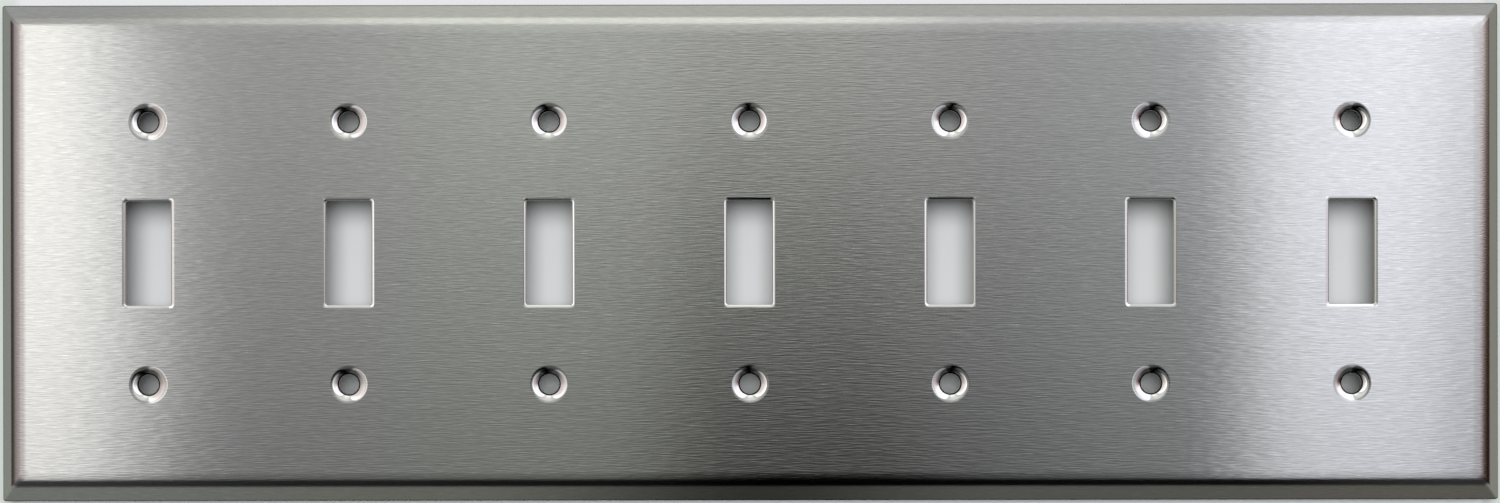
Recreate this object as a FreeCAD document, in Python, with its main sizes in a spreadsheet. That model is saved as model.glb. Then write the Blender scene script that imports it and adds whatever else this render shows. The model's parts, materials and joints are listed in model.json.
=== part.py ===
"""Cover plate for a row of toggle switches, stamped from one sheet of stainless steel.

Frame: the plate stands upright as it hangs on a wall. X runs along its width, Z up its height, and its
face looks along -Y. The origin is the middle of the rim, on the wall plane y = 0. Lengths are in
millimetres and angles in degrees.
"""

import FreeCAD, Part
import math
import os

import Sketcher

NODE = "wall_plate"
SNAP = 1e-4

# Driving dimensions: alias, value, meaning.
DIMENSIONS = [
    ("gang_count", 7, "toggle positions side by side"),
    ("gang_pitch", 46.0375, "centre to centre of neighbouring gangs"),
    ("plate_width", 346.075, "overall width at the rim"),
    ("plate_height", 114.8, "overall height at the rim"),
    ("plate_depth", 5.5, "from the rim forward to the face"),
    ("sheet_gauge", 0.8, "thickness of the sheet"),
    ("flange_slope", 55.5, "angle between flange and face"),
    ("fold_radius", 4.0, "outside radius of the fold between face and flange"),
    ("mitre_radius", 0.6, "outside radius where two flanges meet"),
    ("opening_width", 10.5, "clear width of a toggle opening"),
    ("opening_height", 24.0, "clear height of a toggle opening"),
    ("opening_corner", 0.5, "corner radius of a toggle opening"),
    ("shoulder_width", 0.78, "how far round an opening the face is drawn in by the punch"),
    ("shoulder_depth", 0.07, "how deep the face is drawn in at the opening"),
    ("opening_roll", 0.3, "rounding of an opening's front edge inside that shoulder"),
    ("screw_spacing", 60.325, "centre to centre of a gang's two screw holes"),
    ("screw_hole_radius", 2.3, "radius of a screw hole"),
    ("dimple_radius", 4.5, "radius at which a dimple leaves the flat face"),
    ("dimple_roll", 4.6, "outside radius of the bend from the face into a dimple"),
    ("dimple_slope", 22.0, "angle between a dimple's cone and the face"),
    ("dimple_depth", 1.3, "from the face back to the end of a dimple"),
    ("lip_roll", 0.3, "rounding from a dimple's cone into its hole"),
]

FIRST_GANG = "-Sheet.gang_pitch * (Sheet.gang_count - 1) / 2"
LOWER_ROW = "-Sheet.screw_spacing / 2"

# Ends of a curve in a sketch, and the sketch's own origin and axes.
START, END, CENTRE = 1, 2, 3
ORIGIN = (-1, 1)
HORIZONTAL_AXIS = -1
VERTICAL_AXIS = -2

# A pattern's own mark for a gap that is no exception to its spacing.
EVEN_SPACING = -1.0


def make_sheet(doc):
    """Writes the driving dimensions to a spreadsheet, one aliased cell each."""
    sheet = doc.addObject("Spreadsheet::Sheet", "Sheet")
    for row, (alias, value, meaning) in enumerate(DIMENSIONS, start=1):
        sheet.set(f"A{row}", alias)
        sheet.set(f"B{row}", str(value))
        sheet.set(f"C{row}", meaning)
        sheet.setAlias(f"B{row}", alias)
    doc.recompute()
    return sheet


def datum(body, role):
    """The body's own origin plane or axis with that role."""
    return next(item for item in body.Origin.OriginFeatures if item.Role == role)


def add_sketch(body, name, plane, offsets=()):
    """A sketch on one of the body's planes, moved by an expression along each of the plane's own axes."""
    sketch = body.newObject("Sketcher::SketchObject", name)
    sketch.AttachmentSupport = [(datum(body, plane), "")]
    sketch.MapMode = "FlatFace"
    for axis, expression in zip("xyz", offsets):
        sketch.setExpression(f".AttachmentOffset.Base.{axis}", expression)
    return sketch


def constrain(sketch, *terms):
    """Adds a constraint that needs no size."""
    sketch.addConstraint(Sketcher.Constraint(*terms))


def dimension(sketch, expression, *terms):
    """Adds a constraint whose size follows the sheet. The last term is its size to start from."""
    index = sketch.addConstraint(Sketcher.Constraint(*terms))
    sketch.setExpression(f"Constraints[{index}]", expression)


def join(sketch, first, second, kind):
    """Joins two curves at their nearest ends. kind is Coincident or Tangent."""
    def gap(ends):
        return sketch.getPoint(first, ends[0]).distanceToPoint(sketch.getPoint(second, ends[1]))

    nearest = min([(START, START), (START, END), (END, START), (END, END)], key=gap)
    constrain(sketch, kind, first, nearest[0], second, nearest[1])


def arc(centre, radius, start, end):
    """An arc about centre from one direction to another. Directions are unit vectors."""
    middle = (start + end).normalize()
    return Part.Arc(centre + start * radius, centre + middle * radius, centre + end * radius)


def draw_rectangle(sketch, width_name, height_name, sheet):
    """A rectangle about the sketch's origin, with its sides bound to two named dimensions."""
    width = getattr(sheet, width_name)
    height = getattr(sheet, height_name)
    signs = [(-1, -1), (1, -1), (1, 1), (-1, 1)]
    corners = [FreeCAD.Vector(across * width / 2, up * height / 2, 0) for across, up in signs]
    sides = []
    for start, end in zip(corners, corners[1:] + corners[:1]):
        sides.append(sketch.addGeometry(Part.LineSegment(start, end)))
    for side, following in zip(sides, sides[1:] + sides[:1]):
        join(sketch, side, following, "Coincident")
    bottom, right, top, left = sides
    for side in (bottom, top):
        constrain(sketch, "Horizontal", side)
    for side in (right, left):
        constrain(sketch, "Vertical", side)
    constrain(sketch, "Symmetric", bottom, START, top, START, *ORIGIN)
    dimension(sketch, f"Sheet.{width_name}", "DistanceX", bottom, START, bottom, END, width)
    dimension(sketch, f"Sheet.{height_name}", "DistanceY", right, START, right, END, height)


def recomputed(feature):
    """Recomputes the document and gives the feature back."""
    feature.Document.recompute()
    return feature


def wanted_edges(feature, wanted):
    """The names of the feature's edges for which wanted(edge) is true."""
    return [f"Edge{number}" for number, edge in enumerate(feature.Shape.Edges, start=1) if wanted(edge)]


def add_fillet(body, name, wanted, radius_name):
    """Rounds the wanted edges of the body's last feature."""
    base = body.Tip
    fillet = body.newObject("PartDesign::Fillet", name)
    fillet.Base = (base, wanted_edges(base, wanted))
    fillet.setExpression("Radius", f"Sheet.{radius_name}")
    return recomputed(fillet)


def add_shoulder(body, name, wanted):
    """Slopes the face gently down to the wanted edges of the body's last feature."""
    base = body.Tip
    shoulder = body.newObject("PartDesign::Chamfer", name)
    shoulder.Base = (base, wanted_edges(base, wanted))
    shoulder.ChamferType = "Two distances"
    shoulder.setExpression("Size", "Sheet.shoulder_width")
    shoulder.setExpression("Size2", "Sheet.shoulder_depth")
    return recomputed(shoulder)


def lies_at(item, y):
    """True if every corner of an edge or face lies on the plane at that y."""
    return all(abs(vertex.Y - y) < SNAP for vertex in item.Vertexes)


def cut_flange(body, name, plane, span_name, sheet):
    """Cuts the blank to the outside of two opposite flanges and their folds, as far apart as span_name.

    The section is drawn where the flange ends at the rim: u runs outwards along the face and d forward.
    """
    half_span = getattr(sheet, span_name) / 2
    slope = math.radians(sheet.flange_slope)
    radius = sheet.fold_radius
    depth = sheet.plate_depth
    fold_u = half_span - depth / math.tan(slope) - radius * math.tan(slope / 2)
    slope_u = fold_u + radius * math.sin(slope)
    slope_d = depth - radius + radius * math.cos(slope)

    across = plane == "XY_Plane"

    def point(u, d):
        return FreeCAD.Vector(u, -d, 0) if across else FreeCAD.Vector(-d, u, 0)

    if across:
        along_u, along_d = "DistanceX", "DistanceY"
        level, upright = "Horizontal", "Vertical"
        slope_expression = "Sheet.flange_slope"
        rim_axis = HORIZONTAL_AXIS
    else:
        along_u, along_d = "DistanceY", "DistanceX"
        level, upright = "Vertical", "Horizontal"
        slope_expression = "90 - Sheet.flange_slope"
        rim_axis = VERTICAL_AXIS

    sketch = add_sketch(body, name + "Section", plane)
    flange = sketch.addGeometry(Part.LineSegment(point(slope_u, slope_d), point(half_span, 0)))
    outer_fold = arc(
        point(fold_u, depth - radius), radius, point(math.sin(slope), math.cos(slope)), point(0, 1)
    )
    fold = sketch.addGeometry(outer_fold)
    face = sketch.addGeometry(Part.LineSegment(point(fold_u, depth), point(half_span, depth)))
    side = sketch.addGeometry(Part.LineSegment(point(half_span, depth), point(half_span, 0)))
    join(sketch, flange, fold, "Tangent")
    join(sketch, fold, face, "Tangent")
    join(sketch, face, side, "Coincident")
    join(sketch, side, flange, "Coincident")
    constrain(sketch, level, face)
    constrain(sketch, upright, side)
    constrain(sketch, "PointOnObject", side, END, rim_axis)
    dimension(sketch, slope_expression, "Angle", flange, slope)
    dimension(sketch, "Sheet.fold_radius", "Radius", fold, radius)
    dimension(sketch, f"Sheet.{span_name} / 2", along_u, *ORIGIN, side, END, half_span)
    dimension(sketch, "Sheet.plate_depth", along_d, side, START, side, END, depth)

    cut = body.newObject("PartDesign::Pocket", name)
    cut.Profile = sketch
    cut.Type = "ThroughAll"
    cut.SideType = "Symmetric"
    recomputed(cut)
    mirrored = body.newObject("PartDesign::Mirrored", name + "Mirrored")
    mirrored.Originals = [cut]
    mirrored.MirrorPlane = (datum(body, "YZ_Plane" if across else "XY_Plane"), [""])
    body.Tip = mirrored
    return recomputed(mirrored)


def make_pan(body, sheet):
    """A shallow pan: face, four sloping flanges with mitred corners, one gauge thick, open at the back."""
    rim = add_sketch(body, "RimOutline", "XZ_Plane")
    draw_rectangle(rim, "plate_width", "plate_height", sheet)
    blank = body.newObject("PartDesign::Pad", "Blank")
    blank.Profile = rim
    blank.setExpression("Length", "Sheet.plate_depth")
    recomputed(blank)
    cut_flange(body, "SideFlanges", "XY_Plane", "plate_width", sheet)
    solid = cut_flange(body, "LongFlanges", "YZ_Plane", "plate_height", sheet)

    back = [f"Face{number}" for number, face in enumerate(solid.Shape.Faces, start=1) if lies_at(face, 0)]
    shell = body.newObject("PartDesign::Thickness", "Gauge")
    shell.Base = (solid, back)
    shell.Reversed = True
    shell.setExpression("Value", "Sheet.sheet_gauge")
    recomputed(shell)

    def is_mitre(edge):
        """True for the outside edge that leaves a corner of the rim forwards."""
        at_corner = any(
            abs(abs(vertex.X) - sheet.plate_width / 2) < SNAP
            and abs(abs(vertex.Z) - sheet.plate_height / 2) < SNAP
            for vertex in edge.Vertexes
        )
        return at_corner and not lies_at(edge, 0)

    return add_fillet(body, "Mitres", is_mitre, "mitre_radius")


def repeat(body, name, originals, rows=1):
    """Repeats features at every gang, and in two rows a screw spacing apart if rows is 2."""
    pattern = body.newObject("PartDesign::LinearPattern", name)
    pattern.Originals = originals
    pattern.Direction = (datum(body, "X_Axis"), [""])
    pattern.Mode = "Spacing"
    pattern.setExpression("Offset", "Sheet.gang_pitch")
    pattern.setExpression("Occurrences", "Sheet.gang_count")
    if rows > 1:
        pattern.Direction2 = (datum(body, "Z_Axis"), [""])
        pattern.Mode2 = "Spacing"
        pattern.setExpression("Offset2", "Sheet.screw_spacing")
        pattern.Occurrences2 = rows
        pattern.Spacings2 = [EVEN_SPACING] * (rows - 1)
    body.Tip = pattern
    return recomputed(pattern)


def cut_openings(body, sheet):
    """One toggle opening at each gang, punched from the front, so its front edge is rolled in."""
    outline = add_sketch(body, "OpeningOutline", "XZ_Plane", (FIRST_GANG,))
    draw_rectangle(outline, "opening_width", "opening_height", sheet)
    opening = body.newObject("PartDesign::Pocket", "Opening")
    opening.Profile = outline
    opening.Type = "ThroughAll"
    opening.Reversed = True
    recomputed(opening)
    repeat(body, "Openings", [opening])

    def in_opening(edge):
        """True for an edge within the height of the openings and clear of the plate's ends."""
        reach = sheet.gang_pitch * (sheet.gang_count - 1) / 2 + sheet.opening_width / 2
        return all(
            abs(vertex.Z) < sheet.opening_height / 2 + SNAP and abs(vertex.X) < reach + SNAP
            for vertex in edge.Vertexes
        )

    def is_corner(edge):
        start, end = edge.Vertexes[0].Point, edge.Vertexes[-1].Point
        return in_opening(edge) and abs(start.y - end.y) > SNAP

    def is_front(edge):
        return in_opening(edge) and lies_at(edge, -sheet.plate_depth)

    def is_shoulder_end(edge):
        return in_opening(edge) and lies_at(edge, sheet.shoulder_depth - sheet.plate_depth)

    add_fillet(body, "OpeningCorners", is_corner, "opening_corner")
    add_shoulder(body, "OpeningShoulders", is_front)
    return add_fillet(body, "OpeningRolls", is_shoulder_end, "opening_roll")


def draw_dimple(sketch, sheet):
    """Half section of a dimple, one gauge thick. r runs outwards from its axis and d back from the face."""
    def point(r, d):
        return FreeCAD.Vector(r, d, 0)

    slope = math.radians(sheet.dimple_slope)
    gauge = sheet.sheet_gauge
    outer, hole = sheet.dimple_radius, sheet.screw_hole_radius
    roll, lip = sheet.dimple_roll, sheet.lip_roll
    depth = sheet.dimple_depth
    bend_centre = point(outer, roll)
    bend_end = bend_centre + point(-math.sin(slope), -math.cos(slope)) * roll
    back_bend_end = bend_centre + point(-math.sin(slope), -math.cos(slope)) * (roll - gauge)
    cone_end_r = hole + lip * (1 - math.sin(slope))
    cone_end = point(cone_end_r, bend_end.y + (bend_end.x - cone_end_r) * math.tan(slope))
    lip_centre = cone_end + point(math.sin(slope), math.cos(slope)) * lip
    back_end_r = back_bend_end.x - (depth - back_bend_end.y) / math.tan(slope)

    leaning = point(-math.sin(slope), -math.cos(slope))
    upper_bend = sketch.addGeometry(arc(bend_centre, roll, point(0, -1), leaning))
    cone = sketch.addGeometry(Part.LineSegment(bend_end, cone_end))
    lip_bend = sketch.addGeometry(arc(lip_centre, lip, leaning, point(-1, 0)))
    bore = sketch.addGeometry(Part.LineSegment(point(hole, lip_centre.y), point(hole, depth)))
    rim = sketch.addGeometry(Part.LineSegment(point(hole, depth), point(back_end_r, depth)))
    back_cone = sketch.addGeometry(Part.LineSegment(point(back_end_r, depth), back_bend_end))
    back_bend = sketch.addGeometry(arc(bend_centre, roll - gauge, leaning, point(0, -1)))
    wall = sketch.addGeometry(Part.LineSegment(point(outer, gauge), point(outer, 0)))

    join(sketch, upper_bend, cone, "Tangent")
    join(sketch, cone, lip_bend, "Tangent")
    join(sketch, lip_bend, bore, "Tangent")
    join(sketch, bore, rim, "Coincident")
    join(sketch, rim, back_cone, "Coincident")
    join(sketch, back_cone, back_bend, "Tangent")
    join(sketch, back_bend, wall, "Coincident")
    join(sketch, wall, upper_bend, "Coincident")
    constrain(sketch, "Vertical", wall)
    constrain(sketch, "Vertical", bore)
    constrain(sketch, "Horizontal", rim)
    constrain(sketch, "Parallel", cone, back_cone)
    constrain(sketch, "Coincident", upper_bend, CENTRE, back_bend, CENTRE)
    constrain(sketch, "Vertical", upper_bend, CENTRE, wall, END)
    constrain(sketch, "PointOnObject", wall, END, HORIZONTAL_AXIS)
    dimension(sketch, "Sheet.dimple_radius", "DistanceX", *ORIGIN, wall, END, outer)
    dimension(sketch, "Sheet.sheet_gauge", "DistanceY", wall, END, wall, START, gauge)
    dimension(sketch, "Sheet.dimple_roll", "Radius", upper_bend, roll)
    dimension(sketch, "-Sheet.dimple_slope", "Angle", back_cone, -slope)
    dimension(sketch, "Sheet.lip_roll", "Radius", lip_bend, lip)
    dimension(sketch, "Sheet.screw_hole_radius", "DistanceX", *ORIGIN, bore, END, hole)
    dimension(sketch, "Sheet.dimple_depth", "DistanceY", *ORIGIN, bore, END, depth)


def form_dimples(body, sheet):
    """Two dimpled screw holes at each gang, drawn back from the face so that a flat head seats flush."""
    circle = add_sketch(body, "DimpleOutline", "XZ_Plane", (FIRST_GANG, LOWER_ROW))
    edge = circle.addGeometry(Part.Circle(FreeCAD.Vector(), FreeCAD.Vector(0, 0, 1), sheet.dimple_radius))
    constrain(circle, "Coincident", edge, CENTRE, *ORIGIN)
    dimension(circle, "Sheet.dimple_radius", "Radius", edge, sheet.dimple_radius)
    room = body.newObject("PartDesign::Pocket", "DimpleRoom")
    room.Profile = circle
    room.Type = "ThroughAll"
    room.Reversed = True
    recomputed(room)

    section = add_sketch(body, "DimpleSection", "XY_Plane", (FIRST_GANG, "-Sheet.plate_depth", LOWER_ROW))
    draw_dimple(section, sheet)
    dimple = body.newObject("PartDesign::Revolution", "Dimple")
    dimple.Profile = section
    dimple.ReferenceAxis = (section, ["V_Axis"])
    recomputed(dimple)
    return repeat(body, "Dimples", [room, dimple], rows=2)


def check(doc, body, sheet):
    """Stops if any object failed, the plate isn't one valid solid, or an opening or hole is closed."""
    for item in doc.Objects:
        if "Invalid" in item.State or "Error" in item.State:
            raise RuntimeError(f"{item.Name} failed: {item.State}")
    shape = body.Shape
    if shape.isNull() or not shape.isValid() or len(shape.Solids) != 1:
        raise RuntimeError(f"{body.Label} isn't one valid solid")
    for gang in range(int(sheet.gang_count)):
        x = (gang - (sheet.gang_count - 1) / 2) * sheet.gang_pitch
        for z in (-sheet.screw_spacing / 2, 0, sheet.screw_spacing / 2):
            line = Part.makeLine((x, -sheet.plate_depth - 1, z), (x, 1, z))
            if shape.common(line).Length > SNAP:
                raise RuntimeError(f"{body.Label} is closed at x {x:.2f}, z {z:.2f}")


def main():
    doc = FreeCAD.newDocument("CoverPlate")
    sheet = make_sheet(doc)
    body = doc.addObject("PartDesign::Body", NODE)
    body.Label = NODE
    body.Placement = FreeCAD.Placement()
    make_pan(body, sheet)
    cut_openings(body, sheet)
    form_dimples(body, sheet)
    check(doc, body, sheet)
    os.makedirs("parts", exist_ok=True)
    body.Shape.exportStep(f"parts/{body.Label}.step")
    print(f"{body.Label}: {body.Shape.Volume:.0f} mm3, {len(body.Shape.Faces)} faces")


main()
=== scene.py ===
import json
import math

import bpy
from mathutils import Matrix, Vector
from mathutils.geometry import tessellate_polygon


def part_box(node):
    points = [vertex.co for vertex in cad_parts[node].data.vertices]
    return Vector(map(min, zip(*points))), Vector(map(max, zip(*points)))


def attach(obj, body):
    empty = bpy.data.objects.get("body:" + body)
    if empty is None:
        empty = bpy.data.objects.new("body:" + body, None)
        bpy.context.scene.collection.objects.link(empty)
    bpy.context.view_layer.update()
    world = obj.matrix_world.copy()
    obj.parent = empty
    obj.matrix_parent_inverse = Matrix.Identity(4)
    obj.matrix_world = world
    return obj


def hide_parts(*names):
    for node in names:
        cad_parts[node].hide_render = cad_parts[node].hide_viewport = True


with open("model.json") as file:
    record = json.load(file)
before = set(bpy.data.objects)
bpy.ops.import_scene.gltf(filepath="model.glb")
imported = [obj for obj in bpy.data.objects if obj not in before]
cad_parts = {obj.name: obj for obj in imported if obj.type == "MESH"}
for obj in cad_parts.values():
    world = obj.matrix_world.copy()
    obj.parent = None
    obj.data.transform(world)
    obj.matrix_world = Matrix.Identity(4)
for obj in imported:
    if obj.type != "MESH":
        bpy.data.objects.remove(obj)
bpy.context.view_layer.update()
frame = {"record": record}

MM = 0.001
NODE = "wall_plate"
PIECE = "brushed_wall_plate"

# The plate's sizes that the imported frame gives.
LOW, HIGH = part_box(NODE)
HALF_WIDTH = HIGH.x
HALF_HEIGHT = HIGH.z
FACE_Y = LOW.y
DEPTH = -FACE_Y
SCREW_MOUNTS = [m for m in frame["record"]["mounts"] if m["kind"] == "bolt_pattern"]
GANG_X = [m["pos_m"][0] for m in SCREW_MOUNTS]
SCREW_Z = SCREW_MOUNTS[0]["dims"]["spacing_y_mm"] * MM / 2
HOLE_RADIUS = SCREW_MOUNTS[0]["dims"]["hole_r_mm"] * MM
DIMPLE_DEPTH = SCREW_MOUNTS[0]["pos_m"][1] - FACE_Y

# The sheet's own shape. Before the fold the face falls off a little, in a lead with a far larger radius.
GAUGE = 0.8 * MM
SLOPE = math.radians(55.5)
FOLD_RADIUS = 4.0 * MM
LEAD_RADIUS = 26.0 * MM
LEAD_SLOPE = math.radians(3.3)
RIM_CORNER_RADIUS = 0.6 * MM
FACE_CORNER_RADIUS = 1.4 * MM
SMALLEST_CORNER = 0.1 * MM
OPENING_HALF_WIDTH = 5.25 * MM
OPENING_HALF_HEIGHT = 12.0 * MM
OPENING_CORNER = 0.5 * MM
SHOULDER_RADIUS = 3.2 * MM
SHOULDER_SLOPE = math.radians(9.5)
OPENING_ROLL = 0.3 * MM
DIMPLE_RADIUS = 4.5 * MM
DIMPLE_ROLL = 4.6 * MM
DIMPLE_SLOPE = math.radians(22.0)
LIP_ROLL = 0.3 * MM

# How finely curves are divided.
LEAD_STEPS = 6
FOLD_STEPS = 20
CORNER_STEPS = 8
SHOULDER_STEPS = 3
ROLL_STEPS = 5
BEND_STEPS = 10
LIP_STEPS = 4
DIMPLE_SIDES = 96

# Tilts of a surface's normal. It is 0 where the surface looks to the front, and grows as it leans outwards.
RIGHT_ANGLE = math.radians(90)
INWARDS = -RIGHT_ANGLE
BACK = 2 * RIGHT_ANGLE

# Points closer than this are one vertex.
SAME_PLACE = 0.0001 * MM

# The steel. FINER_SHARE is how strong each finer layer of streaks is next to the one before. The pairs are
# where a look starts and where it is full: the distance from a screw's axis for the dimple and the hole, the
# distance outside an opening for the shoulder, and y for the rim. The pressed steel's far brighter colour is
# a painted sheen, and the almost black hole edge and the dark rim are painted shade.
FINER_SHARE = 0.6
GRAIN_LENGTH = 2.6 * MM
GRAIN_HEIGHT = 0.13 * MM
GRAIN_ROUGHNESS = 0.09
RIDGE_LENGTH = 3.2 * MM
RIDGE_HEIGHT = 0.20 * MM
RIDGE_DEPTH = 0.012 * MM
PRESSED_ROUGHNESS = 0.06
PRESSED_RIDGES = 0.15
PRESSED_PAINTED_SHEEN = (0.96, 0.96, 0.95)
HOLE_EDGE_PAINTED_SHADE = 0.03
RIM_PAINTED_SHADE = (0.30, 0.305, 0.30)
DIMPLE_SMOOTH = (4.25 * MM, 3.9 * MM)
DIMPLE_SHEEN_SPAN = (3.95 * MM, 3.7 * MM)
HOLE_EDGE_SHADE_SPAN = (2.68 * MM, 2.62 * MM)
SHOULDER_SMOOTH = (0.6 * MM, 0.5 * MM)
RIM_SHADE_SPAN = (-0.55 * MM, -0.25 * MM)

# The paper behind the plate. A reach is where a tone starts, is full, starts to fade and ends, as distances
# outside the plate's outline. END_FADE is where it ends and where it is full, past the outline's corners.
# The paper's lighter top is painted light, the glow close below the plate a painted glow, and the darker
# patch close beside it painted shade.
BACKDROP_HALF_WIDTH = 0.9
BACKDROP_HALF_HEIGHT = 0.6
BACKDROP_Y = 5.0 * MM
PAPER = (0.40, 0.41, 0.415)
PAPER_PAINTED_TOP_LIGHT = (0.435, 0.445, 0.45)
PAPER_PAINTED_GLOW = (0.57, 0.61, 0.62)
PAPER_PAINTED_SHADE = (0.36, 0.395, 0.375)
PAINTED_GLOW_REACH = (-7 * MM, 0.0, 3 * MM, 12 * MM)
PAINTED_SHADE_REACH = (-3 * MM, -1 * MM, 3 * MM, 12 * MM)
END_FADE = (8 * MM, 0.0)

# The studio, which the steel mirrors. A height is the z of a direction. Each pair is where one part of the
# room gives way to the next. BACK_REACH is how far the paper comes forward above and below the plate.
UNDER_HEIGHTS = (-0.14, -0.46)
LEVEL_HEIGHTS = (-0.12, 0.0)
HIGH_HEIGHTS = (0.0, 0.12)
OVERHEAD_HEIGHTS = (0.38, 0.72)
PAPER_ABOVE_HEIGHTS = (0.25, 0.8)
PAPER_BELOW_HEIGHTS = (-0.25, -0.8)
FARTHEST_HEIGHT = 0.9
BACK_REACH_BELOW = 0.42
BACK_REACH_ABOVE = 0.24
FRONT_TO_BACK = (-0.10, 0.30)
LAST_LIT_BOUNCE = 2.5
SEEN_BACKGROUND = (0.75, 0.79, 0.80)

# The lamp and the camera.
LAMP_ENERGY = 4.3
LAMP_SPREAD = math.radians(42)
LAMP_HEIGHT = math.radians(14)
CAMERA_DISTANCE = 600 * MM
CAMERA_EYE = Vector((1.8 * MM, FACE_Y - CAMERA_DISTANCE, 0.7 * MM))
CAMERA_TARGET = Vector((0.1 * MM, FACE_Y, 0.2 * MM))
CAMERA_SENSOR = 36.0
CAMERA_LENS = 62.76
CAMERA_ROLL = math.radians(-0.095)


class Sheet:
    """Collects a mesh from rings. A ring is a list of (point, outward direction) pairs."""

    def __init__(self):
        self.points = []
        self.numbers = {}
        self.faces = []
        self.normals = []

    def number(self, point):
        """The number of the vertex at a point."""
        key = tuple(round(c / SAME_PLACE) for c in point)
        if key not in self.numbers:
            self.numbers[key] = len(self.points)
            self.points.append(tuple(point))
        return self.numbers[key]

    def add_face(self, corners):
        """Adds one face from (point, normal) corners, without any corner that repeats."""
        found = {}
        for point, normal in corners:
            found.setdefault(self.number(point), tuple(normal))
        if len(found) > 2:
            self.faces.append(list(found))
            self.normals.extend(found.values())

    def add_band(self, first, first_tilt, second, second_tilt):
        """Joins two rings of the same count. The face looks back if the second ring is the larger."""
        one = leaning(first, first_tilt)
        two = leaning(second, second_tilt)
        for i in range(len(one)):
            j = (i + 1) % len(one)
            self.add_face([one[i], one[j], two[j], two[i]])

    def add_run(self, run):
        """Joins a run of (ring, tilt) pairs, each to the next."""
        for (first, first_tilt), (second, second_tilt) in zip(run, run[1:]):
            self.add_band(first, first_tilt, second, second_tilt)

    def add_flat(self, outline, holes, normal):
        """Fills a flat outline that has holes in it."""
        rings = [[point for point, _ in ring] for ring in [outline] + holes]
        points = [point for ring in rings for point in ring]
        triangles = [[points[i] for i in triangle] for triangle in tessellate_polygon(rings)]
        turn = sum((b - a).cross(c - a).dot(normal) for a, b, c in triangles)
        for triangle in triangles:
            if turn < 0:
                triangle.reverse()
            self.add_face([(point, normal) for point in triangle])

    def mesh(self, name):
        """The collected faces as a mesh with the given normals."""
        mesh = bpy.data.meshes.new(name)
        mesh.from_pydata(self.points, [], self.faces)
        mesh.shade_smooth()
        mesh.normals_split_custom_set(self.normals)
        return mesh


def leaning(ring, tilt):
    """The ring's (point, normal) corners, with normals that lean outwards from the front by tilt."""
    return [
        (point, out * math.sin(tilt) + Vector((0, -math.cos(tilt), 0)))
        for point, out in ring
    ]


def rectangle_ring(half_x, half_z, corner, y, centre_x=0.0):
    """A rounded rectangle, counter-clockwise from the front."""
    ring = []
    for quarter, (side_x, side_z) in enumerate([(1, 1), (-1, 1), (-1, -1), (1, -1)]):
        centre = Vector((centre_x + side_x * (half_x - corner), y, side_z * (half_z - corner)))
        for step in range(CORNER_STEPS + 1):
            angle = RIGHT_ANGLE * (quarter + step / CORNER_STEPS)
            out = Vector((math.cos(angle), 0, math.sin(angle)))
            ring.append((centre + corner * out, out))
    return ring


def circle_ring(x, z, radius, y):
    """A circle, counter-clockwise from the front."""
    ring = []
    for side in range(DIMPLE_SIDES):
        angle = math.tau * side / DIMPLE_SIDES
        out = Vector((math.cos(angle), 0, math.sin(angle)))
        ring.append((Vector((x, y, z)) + radius * out, out))
    return ring


def shares(steps):
    """Even shares from 0 to 1."""
    return [step / steps for step in range(steps + 1)]


def fold_profile():
    """The fold's outer surface, from the face to the flange, as (distance in from the rim, depth, tilt)."""
    points = [(0.0, 0.0, 0.0)]
    for radius, last_tilt, steps in [
        (LEAD_RADIUS, LEAD_SLOPE, LEAD_STEPS),
        (FOLD_RADIUS, SLOPE, FOLD_STEPS),
    ]:
        first_across, first_depth, first_tilt = points[-1]
        for share in shares(steps)[1:]:
            tilt = first_tilt + (last_tilt - first_tilt) * share
            across = first_across + radius * (math.sin(tilt) - math.sin(first_tilt))
            depth = first_depth + radius * (math.cos(first_tilt) - math.cos(tilt))
            points.append((across, depth, tilt))
    fold_width, fold_depth, _ = points[-1]
    width = fold_width + (DEPTH - fold_depth) / math.tan(SLOPE)
    return [(width - across, depth, tilt) for across, depth, tilt in points]


def flange_run(behind):
    """From the face's edge round the fold to the rim, for the surface that far behind the outer one."""
    face_corner = max(FACE_CORNER_RADIUS - behind, SMALLEST_CORNER)
    rim_corner = max(RIM_CORNER_RADIUS - behind, SMALLEST_CORNER)
    profile = fold_profile()
    run = []
    for share, (inset, depth, tilt) in zip(shares(len(profile) - 1), profile):
        inset += behind * math.sin(tilt)
        y = FACE_Y + depth + behind * math.cos(tilt)
        corner = face_corner + (rim_corner - face_corner) * share
        run.append((rectangle_ring(HALF_WIDTH - inset, HALF_HEIGHT - inset, corner, y), tilt))
    inset = behind / math.sin(SLOPE)
    run.append((rectangle_ring(HALF_WIDTH - inset, HALF_HEIGHT - inset, rim_corner, 0.0), SLOPE))
    return run


def opening_run(x):
    """From the face over one opening's drawn-in shoulder and rolled edge, and back through the sheet."""
    shoulder = SHOULDER_RADIUS * math.sin(SHOULDER_SLOPE)
    roll = OPENING_ROLL * (1 - math.sin(SHOULDER_SLOPE))
    centre_depth = SHOULDER_RADIUS - (SHOULDER_RADIUS - OPENING_ROLL) * math.cos(SHOULDER_SLOPE)
    profile = []
    for share in shares(SHOULDER_STEPS):
        tilt = SHOULDER_SLOPE * share
        wider = roll + shoulder - SHOULDER_RADIUS * math.sin(tilt)
        profile.append((wider, SHOULDER_RADIUS * (1 - math.cos(tilt)), -tilt))
    for share in shares(ROLL_STEPS)[1:]:
        tilt = SHOULDER_SLOPE + (RIGHT_ANGLE - SHOULDER_SLOPE) * share
        wider = OPENING_ROLL * (1 - math.sin(tilt))
        profile.append((wider, centre_depth - OPENING_ROLL * math.cos(tilt), -tilt))
    profile.append((0.0, GAUGE, INWARDS))
    run = []
    for wider, depth, tilt in profile:
        half_x = OPENING_HALF_WIDTH + wider
        half_z = OPENING_HALF_HEIGHT + wider
        ring = rectangle_ring(half_x, half_z, OPENING_CORNER + wider, FACE_Y + depth, x)
        run.append((ring, tilt))
    return run


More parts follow.
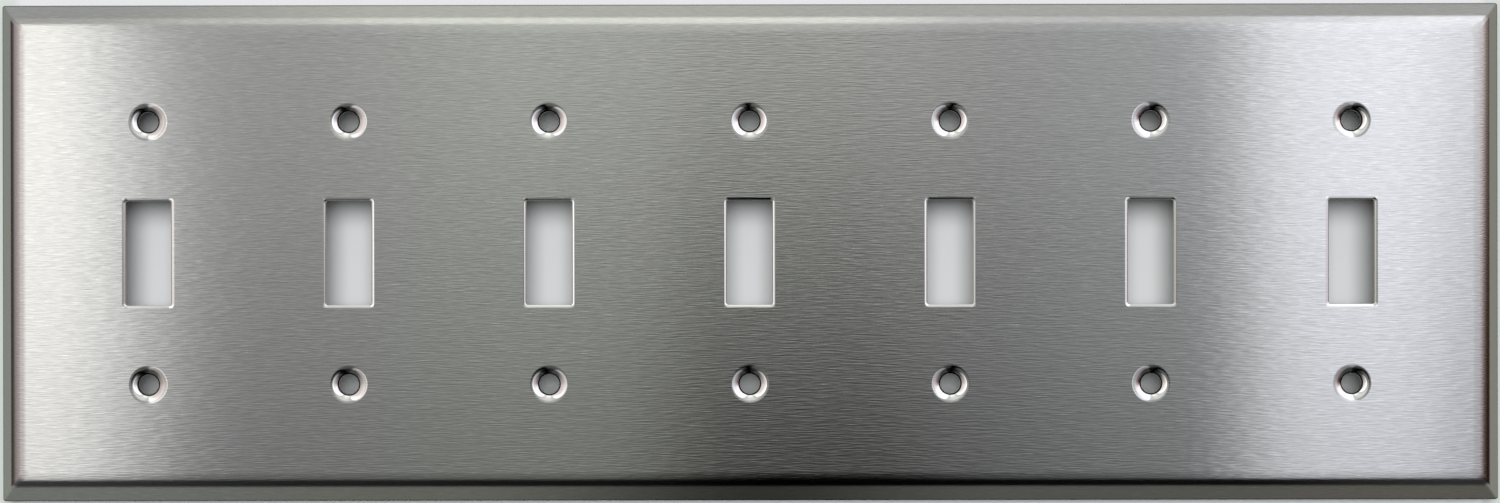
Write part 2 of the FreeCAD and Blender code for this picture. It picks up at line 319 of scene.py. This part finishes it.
def dimple_front():
    """The dimple's front surface, from the face to the hole's far end, as (radius, depth, tilt)."""
    profile = []
    for share in shares(BEND_STEPS):
        tilt = DIMPLE_SLOPE * share
        radius = DIMPLE_RADIUS - DIMPLE_ROLL * math.sin(tilt)
        profile.append((radius, DIMPLE_ROLL * (1 - math.cos(tilt)), -tilt))
    bend_radius, bend_depth, _ = profile[-1]
    lip_radius = HOLE_RADIUS + LIP_ROLL
    cone_radius = lip_radius - LIP_ROLL * math.sin(DIMPLE_SLOPE)
    cone_depth = bend_depth + (bend_radius - cone_radius) * math.tan(DIMPLE_SLOPE)
    lip_depth = cone_depth + LIP_ROLL * math.cos(DIMPLE_SLOPE)
    for share in shares(LIP_STEPS):
        tilt = DIMPLE_SLOPE + (RIGHT_ANGLE - DIMPLE_SLOPE) * share
        radius = lip_radius - LIP_ROLL * math.sin(tilt)
        profile.append((radius, lip_depth - LIP_ROLL * math.cos(tilt), -tilt))
    profile.append((HOLE_RADIUS, DIMPLE_DEPTH, INWARDS))
    return profile


def dimple_back():
    """The dimple's back surface, from the end of its cone out to the sheet's back."""
    roll = DIMPLE_ROLL - GAUGE
    bend = []
    for share in shares(BEND_STEPS):
        tilt = DIMPLE_SLOPE * (1 - share)
        radius = DIMPLE_RADIUS - roll * math.sin(tilt)
        bend.append((radius, DIMPLE_ROLL - roll * math.cos(tilt), BACK - tilt))
    radius, depth, tilt = bend[0]
    end_radius = radius - (DIMPLE_DEPTH - depth) / math.tan(DIMPLE_SLOPE)
    return [(end_radius, DIMPLE_DEPTH, tilt)] + bend


def dimple_runs(x, z):
    """The runs of rings of one dimple: its front, the end of its cone, and its back."""
    front = dimple_front()
    back = dimple_back()
    end = [(HOLE_RADIUS, DIMPLE_DEPTH, BACK), (back[0][0], DIMPLE_DEPTH, BACK)]
    return [
        [(circle_ring(x, z, radius, FACE_Y + depth), tilt) for radius, depth, tilt in profile]
        for profile in (front, end, back)
    ]


def make_plate():
    """The stamped sheet as one closed mesh with exact normals."""
    sheet = Sheet()
    outside = flange_run(0.0)
    inside = flange_run(GAUGE)
    sheet.add_run(outside[::-1])
    sheet.add_run([(ring, BACK + tilt) for ring, tilt in inside])
    sheet.add_band(inside[-1][0], BACK, outside[-1][0], BACK)

    face_holes = []
    back_holes = []
    for x in GANG_X:
        run = opening_run(x)
        sheet.add_run(run)
        face_holes.append(run[0][0])
        back_holes.append(run[-1][0])
        for z in (-SCREW_Z, SCREW_Z):
            for run in dimple_runs(x, z):
                sheet.add_run(run)
            face_holes.append(circle_ring(x, z, DIMPLE_RADIUS, FACE_Y))
            back_holes.append(circle_ring(x, z, DIMPLE_RADIUS, FACE_Y + GAUGE))
    sheet.add_flat(outside[0][0], face_holes, Vector((0, -1, 0)))
    sheet.add_flat(inside[0][0], back_holes, Vector((0, 1, 0)))

    plate = bpy.data.objects.new(PIECE, sheet.mesh(PIECE))
    bpy.context.scene.collection.objects.link(plate)
    return plate


class Shader:
    """A material's or world's node tree, with short ways to add nodes and links."""

    def __init__(self, owner):
        owner.use_nodes = True
        self.tree = owner.node_tree
        self.tree.nodes.clear()

    def add(self, kind, **settings):
        """Adds a node with some of its settings."""
        node = self.tree.nodes.new(kind)
        for name, value in settings.items():
            setattr(node, name, value)
        return node

    def feed(self, socket, value):
        """Sets a socket to a plain value, or links it to another node's output."""
        if isinstance(value, bpy.types.NodeSocket):
            self.tree.links.new(value, socket)
        else:
            socket.default_value = value

    def maths(self, operation, *values):
        """One arithmetic operation on plain values or outputs."""
        node = self.add("ShaderNodeMath", operation=operation)
        for socket, value in zip(node.inputs, values):
            self.feed(socket, value)
        return node.outputs[0]

    def remap(self, value, low, high, to_low=0.0, to_high=1.0, smooth=False):
        """Maps a value from low..high to to_low..to_high, held at both ends."""
        node = self.add("ShaderNodeMapRange", clamp=True)
        if smooth:
            node.interpolation_type = "SMOOTHSTEP"
        for socket, number in zip(node.inputs, (value, low, high, to_low, to_high)):
            self.feed(socket, number)
        return node.outputs[0]

    def ramp(self, value, stops, interpolation="EASE"):
        """A colour ramp. stops are (place, colour) pairs, where a colour is one grey or three numbers."""
        node = self.add("ShaderNodeValToRGB")
        node.color_ramp.interpolation = interpolation
        elements = node.color_ramp.elements
        while len(elements) > 1:
            elements.remove(elements[-1])
        for number, (place, colour) in enumerate(stops):
            element = elements[0] if number == 0 else elements.new(place)
            element.position = place
            element.color = full_colour(colour)
        self.feed(node.inputs[0], value)
        return node.outputs[0]

    def mix(self, share, first, second):
        """The first colour where share is 0, and the second where it is 1."""
        node = self.add("ShaderNodeMix", data_type="RGBA")
        colours = [s for s in node.inputs if s.type == "RGBA"]
        self.feed(node.inputs[0], share)
        self.feed(colours[0], full_colour(first))
        self.feed(colours[1], full_colour(second))
        return [s for s in node.outputs if s.type == "RGBA"][0]

    def coordinates(self, kind):
        """The object's coordinates or a direction: the whole vector, and its x, y and z."""
        spot = self.add("ShaderNodeTexCoord").outputs[kind]
        parts = self.add("ShaderNodeSeparateXYZ")
        self.feed(parts.inputs[0], spot)
        return spot, tuple(parts.outputs)

    def finish(self, kind, surface):
        """Ends the tree with its output node."""
        output = self.add(kind)
        self.feed(output.inputs["Surface"], surface.outputs[0])


def full_colour(colour):
    """A grey or three numbers as four, and a socket as it is."""
    if isinstance(colour, bpy.types.NodeSocket):
        return colour
    if isinstance(colour, (int, float)):
        return (colour, colour, colour, 1.0)
    return (*colour, 1.0)


def streaks(shader, spot, length, height, seed, detail):
    """Noise drawn out along X: streaks about that long and high."""
    scale = shader.add("ShaderNodeVectorMath", operation="MULTIPLY")
    shader.feed(scale.inputs[0], spot)
    shader.feed(scale.inputs[1], (1 / length, 1 / height, 1 / height))
    noise = shader.add("ShaderNodeTexNoise", noise_dimensions="4D")
    shader.feed(noise.inputs["Vector"], scale.outputs[0])
    noise.inputs["W"].default_value = seed
    noise.inputs["Scale"].default_value = 1.0
    noise.inputs["Detail"].default_value = detail
    noise.inputs["Roughness"].default_value = FINER_SHARE
    return noise.outputs["Fac"]


def pressed_places(shader, x, z):
    """For each spot: how far it is from the nearest screw's axis, and how far outside the nearest opening."""
    half_pitch = (GANG_X[1] - GANG_X[0]) / 2
    beside = shader.maths("WRAP", x, half_pitch, -half_pitch)
    height = shader.maths("ABSOLUTE", z)
    above = shader.maths("SUBTRACT", height, SCREW_Z)
    squares = shader.maths("ADD", shader.maths("POWER", beside, 2.0), shader.maths("POWER", above, 2.0))
    past_side = shader.maths("SUBTRACT", shader.maths("ABSOLUTE", beside), OPENING_HALF_WIDTH)
    past_end = shader.maths("SUBTRACT", height, OPENING_HALF_HEIGHT)
    return shader.maths("SQRT", squares), shader.maths("MAXIMUM", past_side, past_end)


def grain(shader, spot):
    """The brushed face: mid grey with fine darker and brighter streaks, and sparse painted glints at the
    brightest.
    """
    fine = streaks(shader, spot, GRAIN_LENGTH, GRAIN_HEIGHT, seed=1.0, detail=2.0)
    return shader.ramp(fine, [
        (0.32, (0.535, 0.54, 0.53)),
        (0.50, (0.612, 0.617, 0.607)),
        (0.64, (0.68, 0.685, 0.675)),
        # The brightest stop gives sparse bright specks: painted glints.
        (0.74, (0.90, 0.90, 0.89)),
    ], "LINEAR")


def ridges(shader, spot, pressed):
    """The relief that the brushing leaves, almost flat where the punches pressed it."""
    bump = shader.add("ShaderNodeBump")
    bump.inputs["Distance"].default_value = RIDGE_DEPTH
    relief = streaks(shader, spot, RIDGE_LENGTH, RIDGE_HEIGHT, seed=2.0, detail=0.0)
    shader.feed(bump.inputs["Height"], relief)
    shader.feed(bump.inputs["Strength"], shader.remap(pressed, 0.0, 1.0, 1.0, PRESSED_RIDGES))
    return bump.outputs[0]


def brushed_steel():
    """Stainless steel with a satin grain along X, pressed smooth where the punches met it, with a painted
    sheen there and painted shade at the hole edges and the rim.
    """
    material = bpy.data.materials.new("brushed_steel")
    shader = Shader(material)
    spot, (x, y, z) = shader.coordinates("Object")
    from_screw, from_opening = pressed_places(shader, x, z)
    shoulder = shader.remap(from_opening, *SHOULDER_SMOOTH)
    pressed = shader.maths("MAXIMUM", shader.remap(from_screw, *DIMPLE_SMOOTH), shoulder)
    painted_light = shader.maths("MAXIMUM", shader.remap(from_screw, *DIMPLE_SHEEN_SPAN), shoulder)

    # Painted sheen and shade: the pressed steel gets a far brighter colour than the grain, and the hole's
    # edge an almost black painted shade.
    smooth = shader.mix(shader.remap(from_screw, *HOLE_EDGE_SHADE_SPAN), PRESSED_PAINTED_SHEEN, HOLE_EDGE_PAINTED_SHADE)
    face = shader.mix(painted_light, grain(shader, spot), smooth)
    upwards = shader.add("ShaderNodeCombineXYZ")
    upwards.inputs["Z"].default_value = 1.0

    surface = shader.add("ShaderNodeBsdfPrincipled")
    surface.inputs["Metallic"].default_value = 1.0
    surface.inputs["Anisotropic"].default_value = 1.0
    # The outermost strip of the rim is darkened: painted shade.
    shader.feed(surface.inputs["Base Color"], shader.mix(shader.remap(y, *RIM_SHADE_SPAN), face, RIM_PAINTED_SHADE))
    roughness = shader.remap(pressed, 0.0, 1.0, GRAIN_ROUGHNESS, PRESSED_ROUGHNESS)
    shader.feed(surface.inputs["Roughness"], roughness)
    shader.feed(surface.inputs["Normal"], ridges(shader, spot, pressed))
    shader.feed(surface.inputs["Tangent"], upwards.outputs[0])
    shader.finish("ShaderNodeOutputMaterial", surface)
    return material


plate = make_plate()
plate.data.materials.append(brushed_steel())
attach(plate, "root")
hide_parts(NODE)


# The studio, as seen from the plate. Directions are unit vectors: x right, y away, z up.
def band(shader, across, stops, interpolation="EASE"):
    """A stretch of the room from left to right. stops are (the direction's x, colour) pairs."""
    return shader.ramp(across, [((x + 1) / 2, colour) for x, colour in stops], interpolation)


def low_front(shader, across):
    """The room in front of the plate and a little below it."""
    return band(shader, across, [
        (-0.98, (0.10, 0.08, 0.07)),
        (-0.80, (0.33, 0.29, 0.27)),
        (-0.50, (0.48, 0.43, 0.41)),
        (-0.34, (0.66, 0.61, 0.59)),
        (-0.275, (0.97, 0.95, 0.91)),
        (-0.258, 0.95),
        (-0.24, 0.60),
        (-0.214, 0.23),
        (-0.19, 0.18),
        (-0.13, (0.18, 0.185, 0.175)),
        (-0.06, (0.175, 0.18, 0.165)),
        (-0.02, (0.03, 0.03, 0.025)),
        (0.00, (0.0, 0.0, 0.0)),
        (0.05, (0.0, 0.0, 0.0)),
        (0.09, (0.085, 0.087, 0.087)),
        (0.135, (0.14, 0.14, 0.145)),
        (0.165, (0.18, 0.18, 0.185)),
        (0.178, (0.32, 0.325, 0.335)),
        (0.19, (0.60, 0.61, 0.64)),
        (0.21, (0.70, 0.71, 0.75)),
        (0.248, (0.69, 0.69, 0.75)),
        (0.26, (0.50, 0.50, 0.54)),
        (0.42, (0.42, 0.38, 0.40)),
        (0.60, (0.24, 0.19, 0.20)),
        (0.76, (0.04, 0.02, 0.02)),
        (0.98, (0.0, 0.0, 0.0)),
    ], "LINEAR")


def level_front(shader, across):
    """The room in front of the plate at its own height."""
    return band(shader, across, [
        (-0.99, (0.07, 0.06, 0.055)),
        (-0.966, (0.20, 0.175, 0.17)),
        (-0.89, (0.44, 0.38, 0.37)),
        (-0.64, (0.63, 0.555, 0.54)),
        (-0.50, (0.78, 0.70, 0.68)),
        (-0.342, (0.97, 0.91, 0.88)),
        (-0.285, (1.60, 1.53, 1.50)),
        (-0.25, (1.50, 1.47, 1.43)),
        (-0.24, 1.22),
        (-0.216, 0.66),
        (-0.20, 0.44),
        (-0.18, 0.40),
        (-0.09, (0.42, 0.43, 0.40)),
        (-0.04, (0.38, 0.385, 0.36)),
        (-0.02, (0.26, 0.265, 0.25)),
        (0.04, (0.25, 0.255, 0.24)),
        (0.055, (0.30, 0.305, 0.30)),
        (0.09, (0.31, 0.315, 0.315)),
        (0.13, (0.385, 0.385, 0.39)),
        (0.165, (0.39, 0.39, 0.40)),
        (0.177, (0.53, 0.54, 0.56)),
        (0.192, (0.98, 0.99, 1.04)),
        (0.205, (1.20, 1.20, 1.29)),
        (0.24, (1.28, 1.28, 1.39)),
        (0.268, (0.82, 0.82, 0.89)),
        (0.42, (0.70, 0.66, 0.69)),
        (0.588, (0.60, 0.50, 0.52)),
        (0.719, (0.40, 0.30, 0.295)),
        (0.839, (0.22, 0.145, 0.125)),
        (0.93, (0.115, 0.065, 0.045)),
        (0.985, (0.045, 0.02, 0.012)),
    ], "LINEAR")


def high_front(shader, across):
    """The room in front of the plate and a little above it."""
    return band(shader, across, [
        (-0.99, (0.10, 0.08, 0.08)),
        (-0.90, (0.44, 0.36, 0.36)),
        (-0.70, (0.60, 0.54, 0.53)),
        (-0.45, (0.85, 0.77, 0.75)),
        (-0.31, (1.35, 1.28, 1.24)),
        (-0.26, (1.52, 1.50, 1.44)),
        (-0.24, 0.88),
        (-0.22, 0.55),
        (-0.17, 0.55),
        (-0.10, (0.69, 0.70, 0.66)),
        (0.04, (0.68, 0.68, 0.66)),
        (0.09, 0.58),
        (0.135, (0.57, 0.575, 0.585)),
        (0.165, (0.66, 0.67, 0.69)),
        (0.178, (0.82, 0.83, 0.87)),
        (0.193, (1.26, 1.27, 1.34)),
        (0.24, (1.42, 1.42, 1.53)),
        (0.275, (1.15, 1.16, 1.22)),
        (0.42, (1.00, 0.98, 1.02)),
        (0.62, (1.10, 1.04, 1.08)),
        (0.80, (1.02, 0.92, 0.94)),
        (0.90, (0.75, 0.63, 0.62)),
        (0.99, (0.42, 0.36, 0.33)),
    ], "LINEAR")


def overhead(shader, across):
    """The lamp over the plate, between the wall on the left and the window on the right."""
    return band(shader, across, [
        (-0.90, 0.30),
        (-0.26, (0.58, 0.57, 0.55)),
        (-0.19, (0.80, 0.80, 0.75)),
        (-0.12, (1.10, 1.10, 1.02)),
        (0.03, (1.16, 1.16, 1.08)),
        (0.09, 0.82),
        (0.16, 0.80),
        (0.21, (1.10, 1.11, 1.17)),
        (0.25, (1.38, 1.39, 1.46)),
        (0.40, (1.30, 1.31, 1.38)),
        (0.90, 0.40),
    ])


def under(shader, across):
    """The dark below the plate's lower edge."""
    return band(shader, across, [
        (-0.90, 0.10),
        (-0.30, 0.06),
        (-0.16, 0.02),
        (-0.08, 0.01),
        (0.00, 0.0),
        (0.18, 0.005),
        (0.26, 0.04),
        (0.90, 0.04),
    ])


def paper_glow(shader, across, z):
    """What the flanges see behind them: paper, bright above the plate and dark below it."""
    above = band(shader, across, [
        (-0.95, (0.33, 0.33, 0.31)),
        (-0.27, 0.46),
        (-0.12, (0.68, 0.68, 0.63)),
        (0.05, (0.62, 0.62, 0.59)),
        (0.25, (0.54, 0.54, 0.53)),
        (0.95, (0.38, 0.38, 0.35)),
    ])
    beside = band(shader, across, [
        (-0.99, (0.06, 0.05, 0.05)),
        (-0.95, (0.33, 0.34, 0.31)),
        (0.95, (0.32, 0.31, 0.27)),
        (0.99, (0.06, 0.04, 0.03)),
    ])
    below = band(shader, across, [
        (-0.95, (0.28, 0.29, 0.27)),
        (-0.27, (0.24, 0.25, 0.23)),
        (-0.12, (0.19, 0.19, 0.17)),
        (0.0, (0.045, 0.045, 0.04)),
        (0.10, (0.13, 0.13, 0.12)),
        (0.27, (0.15, 0.145, 0.125)),
        (0.95, (0.28, 0.27, 0.24)),
    ])
    upper = shader.mix(shader.remap(z, *PAPER_ABOVE_HEIGHTS, smooth=True), beside, above)
    return shader.mix(shader.remap(z, *PAPER_BELOW_HEIGHTS, smooth=True), upper, below)


def room(shader, across, z):
    """What is in front of the plate, from under its lower edge up to the lamp."""
    below = shader.mix(shader.remap(z, *UNDER_HEIGHTS), low_front(shader, across), under(shader, across))
    top = shader.remap(z, *OVERHEAD_HEIGHTS, smooth=True)
    above = shader.mix(top, high_front(shader, across), overhead(shader, across))
    lower = shader.mix(shader.remap(z, *LEVEL_HEIGHTS), below, level_front(shader, across))
    return shader.mix(shader.remap(z, *HIGH_HEIGHTS), lower, above)


def behind_share(shader, y, z):
    """0 towards the room and 1 towards the paper, which comes forward above and below the plate."""
    reach_below = shader.remap(z, -FARTHEST_HEIGHT, 0.0, BACK_REACH_BELOW, 0.0)
    reach_above = shader.remap(z, 0.0, FARTHEST_HEIGHT, 0.0, BACK_REACH_ABOVE)
    reach = shader.maths("ADD", reach_below, reach_above)
    return shader.remap(shader.maths("ADD", y, reach), *FRONT_TO_BACK, smooth=True)


def make_studio():
    """Soft light from every side: pale paper round the plate, and walls, floor and lamp in front."""
    world = bpy.data.worlds.new("studio")
    bpy.context.scene.world = world
    shader = Shader(world)
    _, (x, y, z) = shader.coordinates("Generated")
    across = shader.remap(x, -1.0, 1.0)

    # The paper doesn't reach into the holes: light that has bounced a few times finds it dark.
    path = shader.add("ShaderNodeLightPath")
    deep = shader.maths("GREATER_THAN", path.outputs["Ray Depth"], LAST_LIT_BOUNCE)
    glow = shader.mix(deep, paper_glow(shader, across, z), 0.0)
    lit = shader.mix(behind_share(shader, y, z), room(shader, across, z), glow)
    seen = shader.mix(path.outputs["Is Camera Ray"], lit, SEEN_BACKGROUND)
    background = shader.add("ShaderNodeBackground")
    shader.feed(background.inputs["Color"], seen)
    background.inputs["Strength"].default_value = 1.0
    shader.finish("ShaderNodeOutputWorld", background)


def within(shader, distance, reach):
    """The share of a tone at a distance outside the plate's outline."""
    start, full, fade, end = reach
    return shader.maths("MULTIPLY", shader.remap(distance, start, full), shader.remap(distance, end, fade))


def paper_tone(shader):
    """Pale, with painted light: lighter towards the top, a painted glow close below the plate, painted shade
    close beside it.
    """
    _, (x, _, z) = shader.coordinates("Object")
    beside = shader.maths("SUBTRACT", shader.maths("ABSOLUTE", x), HALF_WIDTH)
    beyond = shader.maths("SUBTRACT", shader.maths("ABSOLUTE", z), HALF_HEIGHT)
    below = shader.maths("SUBTRACT", -HALF_HEIGHT, z)
    # Painted light: the top is lighter, with a painted glow close below the plate and painted shade close
    # beside it.
    tone = shader.mix(shader.remap(z, 0.0, HALF_HEIGHT), PAPER, PAPER_PAINTED_TOP_LIGHT)
    painted_light = shader.maths("MULTIPLY", within(shader, below, PAINTED_GLOW_REACH), shader.remap(beside, *END_FADE))
    painted_shade = shader.maths("MULTIPLY", within(shader, beside, PAINTED_SHADE_REACH), shader.remap(beyond, *END_FADE))
    return shader.mix(painted_shade, shader.mix(painted_light, tone, PAPER_PAINTED_GLOW), PAPER_PAINTED_SHADE)


def pale_paper():
    """Matt paper that shows from its front only."""
    material = bpy.data.materials.new("pale_paper")
    shader = Shader(material)
    surface = shader.add("ShaderNodeBsdfDiffuse")
    shader.feed(surface.inputs["Color"], paper_tone(shader))
    clear = shader.add("ShaderNodeBsdfTransparent")
    show = shader.add("ShaderNodeMixShader")
    shader.feed(show.inputs[0], shader.add("ShaderNodeNewGeometry").outputs["Backfacing"])
    shader.feed(show.inputs[1], surface.outputs[0])
    shader.feed(show.inputs[2], clear.outputs[0])
    shader.finish("ShaderNodeOutputMaterial", show)
    return material


def make_backdrop():
    """A sheet of paper close behind the plate. It faces the front."""
    mesh = bpy.data.meshes.new("backdrop")
    corners = [
        (side_x * BACKDROP_HALF_WIDTH, BACKDROP_Y, side_z * BACKDROP_HALF_HEIGHT)
        for side_x, side_z in [(-1, -1), (1, -1), (1, 1), (-1, 1)]
    ]
    mesh.from_pydata(corners, [], [(0, 1, 2, 3)])
    mesh.materials.append(pale_paper())
    backdrop = bpy.data.objects.new("backdrop", mesh)
    backdrop.visible_diffuse = False
    backdrop.visible_glossy = False
    backdrop.visible_shadow = False
    bpy.context.scene.collection.objects.link(backdrop)


def make_lamp():
    """A wide soft lamp in front, a little above level, for the paper. The steel doesn't mirror it."""
    data = bpy.data.lights.new("lamp", "SUN")
    data.energy = LAMP_ENERGY
    data.angle = LAMP_SPREAD
    lamp = bpy.data.objects.new("lamp", data)
    lamp.rotation_euler = (RIGHT_ANGLE - LAMP_HEIGHT, 0, 0)
    lamp.visible_glossy = False
    bpy.context.scene.collection.objects.link(lamp)


def make_camera():
    """Straight in front of the plate, but for a hair to the right, a hair up and a hair of roll."""
    data = bpy.data.cameras.new("camera")
    data.sensor_width = CAMERA_SENSOR
    data.lens = CAMERA_LENS
    camera = bpy.data.objects.new("camera", data)
    bpy.context.scene.collection.objects.link(camera)
    facing = (CAMERA_TARGET - CAMERA_EYE).to_track_quat("-Z", "Y").to_matrix().to_4x4()
    roll = Matrix.Rotation(CAMERA_ROLL, 4, "Z")
    camera.matrix_world = Matrix.Translation(CAMERA_EYE) @ facing @ roll
    bpy.context.scene.camera = camera


make_studio()
make_backdrop()
make_lamp()
make_camera()
bpy.context.scene.view_settings.view_transform = "Standard"
